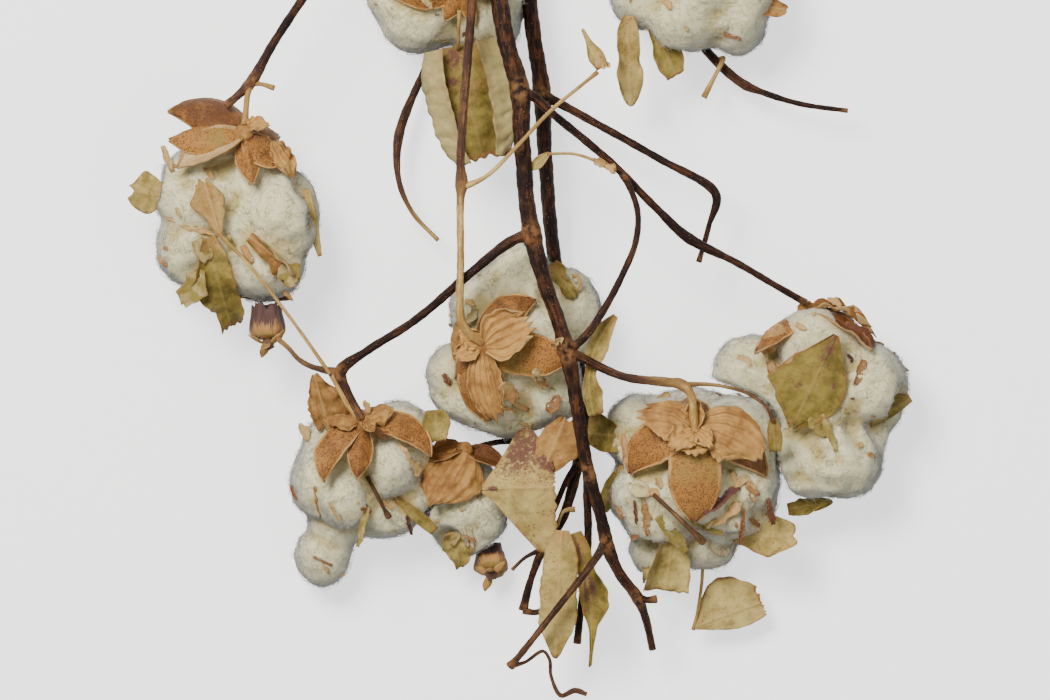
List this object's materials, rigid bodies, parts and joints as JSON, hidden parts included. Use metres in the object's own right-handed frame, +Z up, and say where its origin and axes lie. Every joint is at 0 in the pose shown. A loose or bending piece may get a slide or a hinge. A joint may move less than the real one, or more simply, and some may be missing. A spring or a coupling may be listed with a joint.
{
  "type": "cotton stem bunch",
  "caption": "Bunch of dried cotton stems with open bolls, husks, buds and curled leaves, lying on a surface.",
  "frame": {"origin": "on the surface the bunch lies on, under the middle boll, on that boll's flat underside", "axes": "+Z up from the surface, +Y along the stems towards their cut ends, +X to the right seen from above"},
  "size_m": [0.3916, 0.4801, 0.0862],
  "materials": {
    "bark": "dry, fine-ridged bark",
    "lint": "matt, fluffy",
    "husk": "dry, papery, speckled",
    "leaf": "dry, curled, veined",
    "leaf_pale": "dry, curled, veined"
  },
  "bodies": {
    "root": {"boll_behind_husk": "husk", "boll_behind_lint": "lint", "boll_far_left_husk": "husk", "boll_far_left_lint": "lint", "boll_far_right_husk": "husk", "boll_far_right_lint": "lint", "boll_lower_left_husk": "husk", "boll_lower_left_lint": "lint", "boll_lower_right_husk": "husk", "boll_lower_right_lint": "lint", "boll_middle_husk": "husk", "boll_middle_lint": "lint", "boll_upper_middle_husk": "husk", "boll_upper_middle_lint": "lint", "boll_upper_right_husk": "husk", "boll_upper_right_lint": "lint", "bud_left": "husk", "bud_lower": "husk", "leaf_beside_bract": "leaf", "leaf_between": "leaf", "leaf_cream_cup": "leaf_pale", "leaf_crumpled": "leaf", "leaf_curl": "leaf", "leaf_fallen": "leaf_pale", "leaf_far_right": "leaf", "leaf_folded": "leaf", "leaf_hanging": "leaf_pale", "leaf_left_edge": "leaf_pale", "leaf_long": "leaf_pale", "leaf_lower_edge": "leaf", "leaf_main": "leaf_pale", "leaf_olive_tip": "leaf", "leaf_ribbed": "leaf_pale", "leaf_right_edge": "leaf_pale", "leaf_round": "leaf", "leaf_scrap": "leaf", "leaf_serrated": "leaf_pale", "leaf_shred": "leaf_pale", "leaf_sliver": "leaf", "leaf_small_olive": "leaf", "leaf_spoon": "leaf_pale", "leaf_square": "leaf_pale", "leaf_strip": "leaf", "leaf_tan": "leaf_pale", "leaf_tendril": "leaf", "leaf_twig_end": "leaf_pale", "leaf_under_right": "leaf", "leaf_veined": "leaf", "stem_back": "bark", "stem_front": "bark"}
  },
  "joints": []
}
